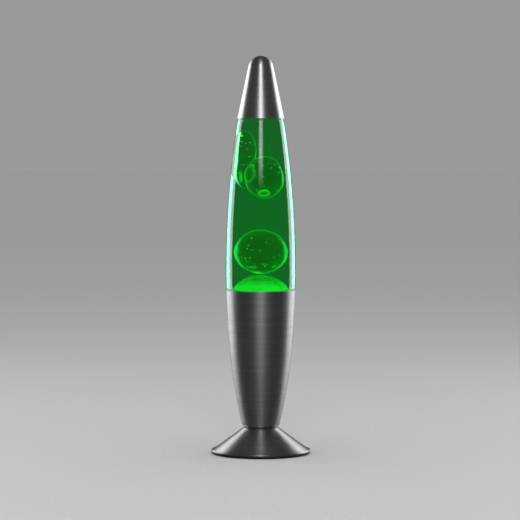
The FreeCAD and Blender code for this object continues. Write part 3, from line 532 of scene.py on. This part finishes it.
ripple = place.stretched((22, 22, 9)).speckle(1.0, 1.0)
smear = place.speckle(0.02, 4.0, 0.6)
coat(shader, Base_Color=[0.93, 1.0, 0.995, 1], Transmission_Weight=1.0, IOR=1.5,
     Roughness=smear.between(0.55, 0.8, 0.0, 0.035), Normal=ripple.bump(0.012))
keep("bottle_glass", turned(outside + inside[::-1]), "bottle", "bottle_glass", clear_glass,
     "glass_bottle")

# ---- heating coil and settled wax --------------------------------------------------------------
# A flat coil of steel wire lies on the bottle's floor. The wax that has melted round it is a broad
# soft mound, a little lumpy, whose top is just letting go of the lowest blob. A glow is painted on
# it for the light of the bulb beneath, brightest low down.
dress("heat_coil", plated("coil_wire", (0.42, 0.42, 0.43), 0.35))
pool_low, pool_high = box_mm("wax_pool")
DOME = 22.0
DOME_END = 25.0
SKIRT = 14.0
POOL_GAP = 0.15
COIL_ROOM = 1.7
COIL_INNER = 11.0
COIL_OUTER = 25.0
dome_centre = Vector((0, pool_high.z - 0.1 - DOME))
skirt_centre = dome_centre + (DOME + SKIRT) * Vector(
    (math.cos(math.radians(DOME_END)), math.sin(math.radians(DOME_END))))
pool_side = belly_line(GLASS_WALL + POOL_GAP, rim + 2.5)[0][0]
skirt = [(r, z) for r, z in sweep(skirt_centre, SKIRT, DOME_END + 180, 270, 16)
         if r < pool_side - 0.6]
wall_inset = SEAT_INSET + GLASS_WALL + POOL_GAP
pool_edge = skirt[-1][1]
pool_outline = (
    [(0, pool_low.z), (COIL_INNER, pool_low.z), (COIL_INNER, pool_low.z + COIL_ROOM),
     (COIL_OUTER, pool_low.z + COIL_ROOM)]
    + [(r, z) for r, z in seat_line(wall_inset, pool_low.z, SEAT_CORNER - GLASS_WALL,
                                    min(rim - 3, pool_edge - 0.6)) if r > COIL_OUTER]
    + skirt[::-1] + sweep(dome_centre, DOME, DOME_END, 90, 26)[1:])
MOUND_START = 166.0
MOUND_HEIGHT = 15.0
LUMP_SHARE = 0.035
DIMPLE = 0.0006
pool = turned(pool_outline, facets=160)
for vertex in pool.verts:
    up = max(0.0, vertex.co.z * 1000 - MOUND_START) / MOUND_HEIGHT
    if up > 0:
        lump = noise.noise(vertex.co * 110 + Vector((3.1, 0.7, 5.2)))
        sideways = 1 + LUMP_SHARE * lump * min(1, up * 2)
        vertex.co.x *= sideways
        vertex.co.y *= sideways
        vertex.co.z -= DIMPLE * (0.5 + noise.noise(vertex.co * 260)) * min(1, up)
painted_glow, shader, place = new_finish("settled_wax")
height = place.node("SeparateXYZ", {}, {"Vector": place}, "Z")
cloud = place.speckle(0.006, 4.0, 0.6)
grain = place.speckle(0.0016, 3.0, 0.6)
# Painted glow for the bulb's light: full low down, fading out towards the mound's top, and varied
# by the mottling.
lit = height.between(0.181, 0.160)
mottled = (cloud * 0.7 + grain * 0.3).between(0.3, 0.6)
coat(shader, Base_Color=mottled.mixed([0.0, 0.24, 0.01, 1], [0.03, 0.62, 0.05, 1]),
     Roughness=0.3 + cloud * 0.2, IOR=1.12,
     Emission_Color=place.node(
         "ValToRGB", {"stops": [(0.0, (0.0, 0.2, 0.004)), (0.45, (0.004, 0.55, 0.012)),
                                (1.0, (0.012, 0.95, 0.03))]},
         {"Fac": mottled * 0.3 + lit.between(0.0, 0.7) * 0.7}, "Color"),
     Emission_Strength=1.0, Normal=cloud.bump(0.4))
keep("settled_wax", pool, "bottle", "wax", painted_glow, "wax_pool")

# ---- liquid -----------------------------------------------------------------------------------
# Water and glycol dyed green fills the bottle to just inside the cap. It is clear and takes out
# most of the red. A little green glow is painted through it, and a painted teal sheen edges it.
fill_z = box_mm("bottle_liquid")[1].z
WETS = 0.12
MENISCUS = 1.0
liquid_floor = inner_floor - WETS
meniscus = belly_line(GLASS_WALL - WETS, rim + 2.5)
below = [(r, z) for r, z in meniscus if z < fill_z]
last_r = below[-1][0]
liquid_outline = (
    seat_line(SEAT_INSET + GLASS_WALL - WETS, liquid_floor, SEAT_CORNER - GLASS_WALL + WETS,
              rim - 2.5)
    + below + [(last_r - 0.1, fill_z), (last_r - 0.8, fill_z - 0.7),
               (last_r - 2.2, fill_z - MENISCUS), (0, fill_z - MENISCUS)])
dyed, shader, place = new_finish("dyed_liquid")
swirl = place.stretched((20, 20, 12)).speckle(1.0, 2.0)
coat(shader, Base_Color=[1, 1, 1, 1], Transmission_Weight=1.0, IOR=1.333, Roughness=0.0,
     Normal=swirl.bump(0.008))


def seen_on_edge(place):
    """How far a surface turns from the eye, 0 face on and 1 edge on."""
    return place.node("LayerWeight", {}, {"Blend": 0.5}, "Facing")


def shines(place, colour, strength):
    """A shader that only gives off light, here for painted glow and painted sheen."""
    return place.node("Emission", {}, {"Color": colour, "Strength": strength}, "Emission")


def veil(material, shader, amount, painted_light_layer):
    """Lays a second shader over a material's own by an amount from 0 to 1."""
    own = Paint(amount.tree, shader.outputs["BSDF"])
    laid = amount.node("MixShader", {}, {"Fac": amount, 1: own, 2: painted_light_layer}, "Shader")
    finish = material.node_tree.nodes["Material Output"]
    material.node_tree.links.new(laid.socket, finish.inputs["Surface"])


def fill(material, place, tint, density, painted_glow_colour, painted_glow):
    """Gives a clear material a body of dye that absorbs light, with a painted glow through it."""
    dye = place.node("VolumeAbsorption", {}, {"Color": tint, "Density": density}, "Volume")
    both = place.node("AddShader", {}, {0: dye, 1: shines(place, painted_glow_colour, painted_glow)}, "Shader")
    finish = material.node_tree.nodes["Material Output"]
    material.node_tree.links.new(both.socket, finish.inputs["Volume"])


# Painted light: a teal sheen painted on the liquid's edges, stronger the more edge on they are
# seen, and below it a green glow painted through the liquid's body.
veil(dyed, shader, seen_on_edge(place) ** 2.5 * 0.8, shines(place, (0.0, 0.7, 1.0, 1.0), 0.12))
fill(dyed, place, (0.12, 0.68, 0.58, 1.0), 60.0, (0.0, 1.0, 0.02, 1.0), 3.6)
keep("dyed_liquid", turned(liquid_outline), "bottle", "liquid", dyed, "bottle_liquid")

# ---- floating wax ------------------------------------------------------------------------------
# Three free blobs of the same wax, soft and slightly lopsided, clear enough to see through, with
# tiny bubbles in them. A glow is painted round their outlines and low on their flanks, with painted
# bright specks and a few painted glints for the light from beneath, which make a small ring in the
# right one.


def patch(place, middle, reach, soft):
    """An elliptical mask about a point in mm, 1 inside and 0 beyond its soft edge."""
    scaled = place.node("VectorMath", {"operation": "MULTIPLY_ADD"}, {
        0: place, 1: [1000 / size for size in reach],
        2: [-spot / size for spot, size in zip(middle, reach)]}, "Vector")
    far = scaled.node("VectorMath", {"operation": "LENGTH"}, {0: scaled}, "Value")
    return far.between(1.0 + soft, 1.0 - soft)


def wax_finish(name, low, high, painted_glints):
    """Clear green wax in a box in mm, with a glow painted on for the light from beneath: at its
    outline where it is seen edge on, low down on its flanks, at bright specks and at a few painted
    glints."""
    material, shader, place = new_finish(name)
    height = place.node("SeparateXYZ", {}, {"Vector": place}, "Z")
    cloud = place.speckle(0.008, 3.0)
    painted_specks = place.speckle(0.0014, 2.0)
    coat(shader, Base_Color=[0.8, 1.0, 0.75, 1], Transmission_Weight=1.0, IOR=1.12,
         Roughness=cloud.between(0.3, 0.7, 0.0, 0.03), Normal=cloud.bump(0.3))
    pulled = place.node("VectorMath", {"operation": "ADD"}, {0: place, 1: cloud * 0.003}, "Vector")
    bottom = low.z * 0.001
    tall = (high.z - low.z) * 0.001
    # A band low on the flanks where glow is painted, as if lit from beneath.
    flank = (height.between(bottom + tall * 0.05, bottom + tall * 0.3)
             * height.between(bottom + tall * 0.8, bottom + tall * 0.5))
    facing = seen_on_edge(place)
    # Painted light: a glowing outline where the wax is seen edge on, painted glow on the flanks,
    # painted bright specks, random painted patches of glow and the painted glints.
    lit = facing ** 3.2 * 0.95 + facing ** 1.6 * flank * 0.55 * cloud.between(0.3, 0.6)
    lit = lit + painted_specks.between(0.7, 0.76) * 0.35 + cloud.between(0.5, 0.8) * 0.12
    for middle, reach, strength in painted_glints:
        lit = lit + patch(pulled, middle, reach, 0.4) * strength
    painted_light_layer = place.node("BsdfPrincipled", {}, {
        "Base Color": (0.01, 0.3, 0.02, 1), "Roughness": 0.25, "IOR": 1.1,
        "Emission Color": lit.node(
            "ValToRGB", {"stops": [(0.0, (0.0, 0.4, 0.005)), (0.5, (0.005, 0.95, 0.016)),
                                   (1.0, (0.025, 1.7, 0.05))]},
            {"Fac": lit}, "Color"),
        "Emission Strength": 1.0}, "BSDF")
    veil(material, shader, lit.maths("MINIMUM", lit, 1.0), painted_light_layer)
    # A green dye through the wax, with a painted glow in it.
    fill(material, place, (0.0, 0.55, 0.05, 1.0), 60.0, (0.0, 1.0, 0.0, 1.0), 0.6)
    return material


def wax_blob(name, node, body, seed, lumps, waist, painted_glints, belly=0.0):
    """A rounded blob that fills its CAD box, pulled a little out of true by smooth noise. One
    with a belly is full low down and drawn in above it."""
    low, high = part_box(node)
    centre, half = (low + high) / 2, (high - low) / 2
    mesh = bmesh.new()
    bmesh.ops.create_icosphere(mesh, subdivisions=6, radius=1.0)
    for vertex in mesh.verts:
        out = vertex.co.copy()
        push = 1 + lumps * noise.noise(out * 1.3 + Vector((seed, 2.0, 7.0)))
        taper = 1 - waist * out.z * 0.5 - waist * 0.5 * out.z * out.z
        taper *= 1 - belly * 0.9 * math.exp(-((out.z - 0.02) / 0.3) ** 2)
        if out.z < 0:
            taper *= 1 - 4 * belly * out.z * (1 + out.z)
        vertex.co = Vector((out.x * push * taper, out.y * push * taper, out.z * (
            1 + 0.3 * lumps * noise.noise(out * 1.1 + Vector((1.0, seed, 4.0))))))
    spans = [(min(v.co[axis] for v in mesh.verts), max(v.co[axis] for v in mesh.verts))
             for axis in range(3)]
    for vertex in mesh.verts:
        vertex.co = Vector([
            centre[axis] + half[axis] * 0.995 * (
                2 * (vertex.co[axis] - spans[axis][0]) / (spans[axis][1] - spans[axis][0]) - 1)
            for axis in range(3)])
    bmesh.ops.recalc_face_normals(mesh, faces=mesh.faces)
    finish = wax_finish(name + "_wax", low * 1000, high * 1000, painted_glints)
    return keep(name, mesh, body, "wax", finish, node)


wax_blob("blob_lower", "wax_blob_lower", "lower_wax", 4.0, 0.06, 0.02,
         [((-7, -17, 190), (6, 9, 1.8), 0.45), ((-4, -14, 184), (9, 14, 2.2), 0.6),
          ((6, -18, 193), (3, 9, 1.2), 0.3)])
wax_blob("blob_right", "wax_blob_right", "right_wax", 9.0, 0.08, 0.04,
         [((4, -16, 263.5), (5.6, 9, 3.6), 0.8), ((4, -16, 263.5), (3.6, 9, 2.0), -0.6)])
wax_blob("blob_left", "wax_blob_left", "left_wax", 1.5, 0.08, -0.06,
         [((-13.0, 4, 279), (1.4, 9, 6.5), 0.6)], 0.16)

BUBBLE_SIZES = (0.00028, 0.00065)
BUBBLE_REACH = 0.62


def wax_bubbles(name, body, node, seed, count, extra=()):
    """Small round bubbles scattered through a blob, and any larger ones at places in mm."""
    low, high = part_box(node)
    centre, half = (low + high) / 2, (high - low) / 2
    draw = random.Random(seed)
    mesh = bmesh.new()
    spots = [(centre + Vector([half[axis] * draw.uniform(-BUBBLE_REACH, BUBBLE_REACH)
                               for axis in range(3)]), draw.uniform(*BUBBLE_SIZES))
             for k in range(count)]
    for spot, size in spots + [(Vector(spot) * 0.001, size * 0.001) for spot, size in extra]:
        bmesh.ops.create_icosphere(mesh, subdivisions=2, radius=size,
                                   matrix=Matrix.Translation(spot))
    return keep(name, mesh, body, "wax", bubble_painted_glow)


# The bubbles carry a painted glow with painted bright specks, for the light from beneath caught in
# them.
bubble_painted_glow, shader, place = new_finish("bubble_painted_glow")
shine = place.speckle(0.0006, 2.0)
coat(shader, Base_Color=shine.mixed([0.05, 0.6, 0.06, 1], [0.3, 1.0, 0.3, 1]), Roughness=0.15,
     Emission_Color=shine.mixed([0.0, 0.35, 0.01, 1], [0.02, 1.1, 0.05, 1]), Emission_Strength=1.6)
wax_bubbles("bubbles_lower", "lower_wax", "wax_blob_lower", 5, 26)
wax_bubbles("bubbles_right", "right_wax", "wax_blob_right", 11, 16)
wax_bubbles("bubbles_left", "left_wax", "wax_blob_left", 21, 14, [((-13.5, 6.2, 319), 1.3)])

# ---- crown closure and liner ------------------------------------------------------------------
# A pressed steel crown with a fluted skirt seals the bottle over a soft disc. The loose cap
# hides both.
crown_low, crown_high = box_mm("crown_closure")
CROWN = 16.0
CROWN_FLARE = 1.6
CROWN_SKIN = 0.5
CROWN_SHOULDER = 1.2
FLUTES = 21
FLUTE_DEPTH = 0.055
SKIRT_STEPS = 8
skirt_top = crown_high.z - 1.1
skirt_foot = crown_low.z + 0.05
plate_edge = CROWN - CROWN_FLARE
inner_skirt = [(CROWN - 1.0 - (CROWN_FLARE - 0.6) * (1 - k / SKIRT_STEPS),
                skirt_top + (skirt_foot - skirt_top) * k / SKIRT_STEPS)
               for k in range(1, SKIRT_STEPS + 1)]
outer_skirt = [(CROWN - 0.2 - CROWN_FLARE * k / SKIRT_STEPS,
                crown_low.z + 0.1 + (crown_high.z - 1.5 - crown_low.z) * k / SKIRT_STEPS)
               for k in range(SKIRT_STEPS + 1)]
crown_outline = (
    [(0, crown_high.z - CROWN_SKIN), (plate_edge - 1.4, crown_high.z - CROWN_SKIN),
     (plate_edge - 0.6, skirt_top)]
    + inner_skirt + [(CROWN - 0.5, crown_low.z)] + outer_skirt
    + sweep((plate_edge - 1.3, crown_high.z - CROWN_SHOULDER), CROWN_SHOULDER, 10, 90, 6)
    + [(0, crown_high.z)])
crown = turned(crown_outline, facets=FLUTES * 10)
for vertex in crown.verts:
    reach = math.hypot(vertex.co.x, vertex.co.y) * 1000
    down = min(1.0, max(0.0, (crown_high.z - 1.0 - vertex.co.z * 1000) / 4.0))
    if reach > 10:
        wave = 0.5 - 0.5 * math.cos(FLUTES * math.atan2(vertex.co.y, vertex.co.x))
        pinch = 1 - FLUTE_DEPTH * down * wave
        vertex.co.x *= pinch
        vertex.co.y *= pinch
bmesh.ops.recalc_face_normals(crown, faces=crown.faces)
keep("crown_cap", crown, "bottle", "crown_metal",
     plated("crown_steel", (0.6, 0.6, 0.6), 0.25), "crown_closure")
dress("closure_liner", moulded("liner_plastic", (0.6, 0.6, 0.58), 0.5, 0.02, 0.0008))

# ---- cap ----------------------------------------------------------------------------------------
# A loose bullet-shaped cap, spun from sheet and lathe-brushed like the body: a straight cone that
# runs into a round nose, open below and set down over the bottle's shoulder.
nose_low, nose_high = box_mm("top_cap")
CAP_SLOPE_DEGREES = 12.0
CAP_SLOPE = math.radians(CAP_SLOPE_DEGREES)
cap_rim = nose_high.y
nose = ((cap_rim * math.cos(CAP_SLOPE) - (nose_high.z - nose_low.z) * math.sin(CAP_SLOPE))
        / (1 - math.sin(CAP_SLOPE)))
nose_centre = (0, nose_high.z - nose)
inner_rim = cap_rim - SHEET / math.cos(CAP_SLOPE)


def cone_side(rim_r, radius, steps):
    """Points up the cap's straight side from its rim to where the nose begins."""
    top = sweep(nose_centre, radius, CAP_SLOPE_DEGREES, CAP_SLOPE_DEGREES, 1)[0]
    return [(rim_r + (top[0] - rim_r) * k / steps, nose_low.z + (top[1] - nose_low.z) * k / steps,
             0.0) for k in range(1, steps)]


cap_outline = soften(
    [(inner_rim, nose_low.z, 0.2), (cap_rim, nose_low.z, 0.2)]
    + cone_side(cap_rim, nose, 26)
    + [(r, z, 0.0) for r, z in sweep(nose_centre, nose, CAP_SLOPE_DEGREES, 90, 26)]
    + [(r, z, 0.0) for r, z in sweep(nose_centre, nose - SHEET, 90, CAP_SLOPE_DEGREES, 26)]
    + cone_side(inner_rim, nose - SHEET, 26)[::-1])
cap_metal = brushed_aluminium("cap_brushed", 0.76, 0.40)
keep("bullet_cap", turned(cap_outline), "cap", "cap_metal", cap_metal, "top_cap")

# ---- studio -------------------------------------------------------------------------------------
# A plain pale floor and surround under a soft overhead light. Behind the lamp on either side a
# panel lights the glass's edges and a wider wing the metal's, and a strip in front and above
# draws the central streak. The metal and glass don't mirror the floor.
floor_mesh = bmesh.new()
bmesh.ops.create_circle(floor_mesh, cap_ends=True, segments=96, radius=40.0)
floor_paint, shader, place = new_finish("floor_paint")
fleck = place.speckle(0.004, 3.0)
coat(shader, Base_Color=fleck.between(0.3, 0.7).mixed([0.5, 0.5, 0.5, 1], [0.54, 0.54, 0.54, 1]),
     Roughness=0.55 + fleck * 0.1, Specular_IOR_Level=0.3)
floor_data = bpy.data.meshes.new("floor")
floor_mesh.to_mesh(floor_data)
floor_mesh.free()
floor_data.materials.append(floor_paint)
floor = bpy.data.objects.new("floor", floor_data)
bpy.context.scene.collection.objects.link(floor)
floor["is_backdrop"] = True


def lamp_panel(name, spot, aim, width, height, watts, colour, fade=None):
    """A flat soft light of a size at a place, turned towards a point; one with a fade is dimmer
    towards its sides and between two heights at its foot."""
    data = bpy.data.lights.new(name, "AREA")
    if fade:
        data.use_nodes = True
        emission = data.node_tree.nodes["Emission"]
        there = Paint(data.node_tree).node("NewGeometry", {}, {}, "Position")
        across = there.node("SeparateXYZ", {}, {"Vector": there}, "X")
        height_there = there.node("SeparateXYZ", {}, {"Vector": there}, "Z")
        falloff = (across.maths("ABSOLUTE", across).between(width * 0.5, width * 0.05)
                   * height_there.between(*fade))
        data.node_tree.links.new(falloff.socket, emission.inputs["Strength"])
    data.shape = "RECTANGLE"
    data.size = width
    data.size_y = height
    data.energy = watts
    data.color = colour
    light = bpy.data.objects.new(name, data)
    light.location = spot
    light.rotation_euler = (Vector(aim) - Vector(spot)).to_track_quat("-Z", "Y").to_euler()
    light.visible_camera = False
    bpy.context.scene.collection.objects.link(light)
    return light


PANEL_TURN = math.radians(128)
PANEL_AWAY = 1.2
WING_TURN = math.radians(131)
WING_AWAY = 1.25
SIDE_LIGHT_HEIGHT = 0.42
middle = Vector((0, 0, (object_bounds()[0].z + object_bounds()[1].z) / 2))


def beside(side, turn, away):
    """A place to the left, -1, or right, 1, of the lamp, turned so far round from the front."""
    return (side * away * math.sin(turn), -away * math.cos(turn), SIDE_LIGHT_HEIGHT)


for side, name in ((-1, "left"), (1, "right")):
    panel = lamp_panel("panel_" + name, beside(side, PANEL_TURN, PANEL_AWAY), middle,
                       0.5, 1.5, 9.0, (0.96, 1.0, 0.99))
    panel.visible_glossy = False
    panel.visible_diffuse = False
    wing = lamp_panel("wing_" + name, beside(side, WING_TURN, WING_AWAY), middle,
                      1.1, 1.0, 6.2, (1, 1, 1))
    wing.visible_diffuse = False
    wing.visible_transmission = False
lamp_panel("strip_front", (0, -1.75, 1.15), middle, 0.9, 1.4, 13.5, (1, 1, 1), (0.57, 0.82))
overhead = lamp_panel("overhead", (0, -0.1, 1.9), (0, 0, 0), 1.5, 1.5, 14.0, (1, 1, 1))
overhead.visible_glossy = False
overhead.visible_transmission = False
floor.visible_glossy = False
floor.visible_transmission = False

# The surround is mid grey to the eye and bright to matt surfaces, and nearly black in the
# metal and the glass.
REFLECTED_GREY = 0.045
BACKDROP_GREY = 0.275
MATT_GREY = 0.71
world = bpy.data.worlds.new("studio_grey")
world.use_nodes = True
sky = Paint(world.node_tree)
seen = sky.node("LightPath", {}, {}, "Is Camera Ray")
matt = sky.node("LightPath", {}, {}, "Is Diffuse Ray")
grey = REFLECTED_GREY + seen * BACKDROP_GREY + matt * MATT_GREY
world.node_tree.links.new(grey.socket, world.node_tree.nodes["Background"].inputs["Color"])
world.cycles.sampling_method = "NONE"
bpy.context.scene.world = world

camera_data = bpy.data.cameras.new("camera")
camera_data.lens = 158.4
camera_data.sensor_width = 36.0
camera = bpy.data.objects.new("camera", camera_data)
camera.location = (0, -2.3, 0.30)
camera.rotation_euler = (math.radians(90 - 2.61), 0, 0.00035)
bpy.context.scene.collection.objects.link(camera)
bpy.context.scene.camera = camera
bpy.context.scene.view_settings.view_transform = "Standard"
bpy.context.scene.cycles.max_bounces = 24
bpy.context.scene.cycles.transmission_bounces = 24
